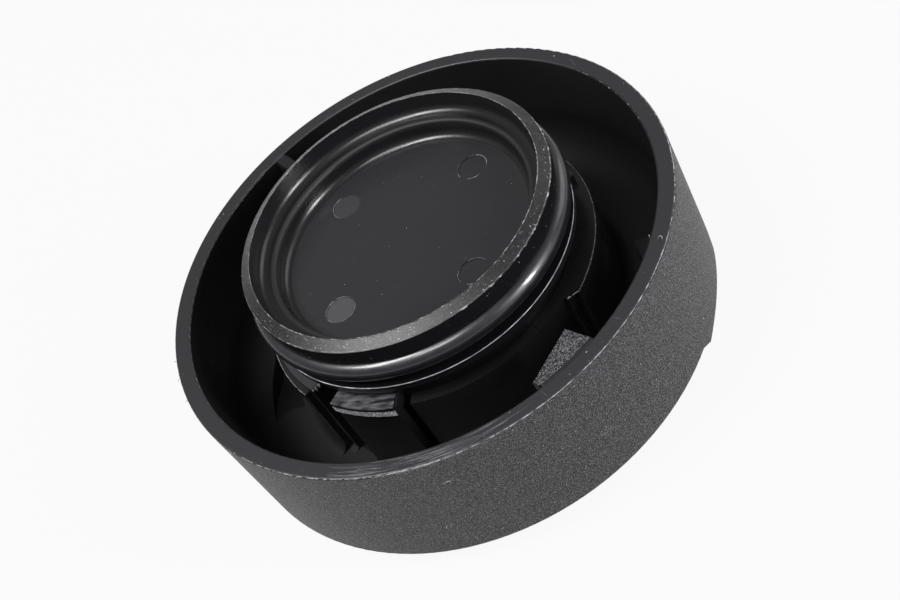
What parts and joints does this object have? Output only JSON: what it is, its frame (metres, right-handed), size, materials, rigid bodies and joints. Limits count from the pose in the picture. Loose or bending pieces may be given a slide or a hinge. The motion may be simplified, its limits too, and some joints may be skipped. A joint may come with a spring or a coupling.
{
  "type": "oil filler cap",
  "caption": "Round black bayonet oil filler cap with a deep skirt, a grip bar on its closed top and an O-ring sealed plug inside.",
  "frame": {"origin": "middle of the flat face of the grip bar, on which the cap rests", "axes": "+Z along the cap's axis from the closed top to the plug's end; +X along the grip bar"},
  "size_m": [0.07, 0.07, 0.0285],
  "materials": {
    "shell_plastic": "spark-eroded outside, smooth inside",
    "plug_plastic": "satin with a rough lip bevel",
    "ring_rubber": "smooth, slightly oily"
  },
  "bodies": {
    "root": {"cap_shell": "shell_plastic", "sealing_plug": "plug_plastic", "o_ring": "ring_rubber"}
  },
  "joints": []
}
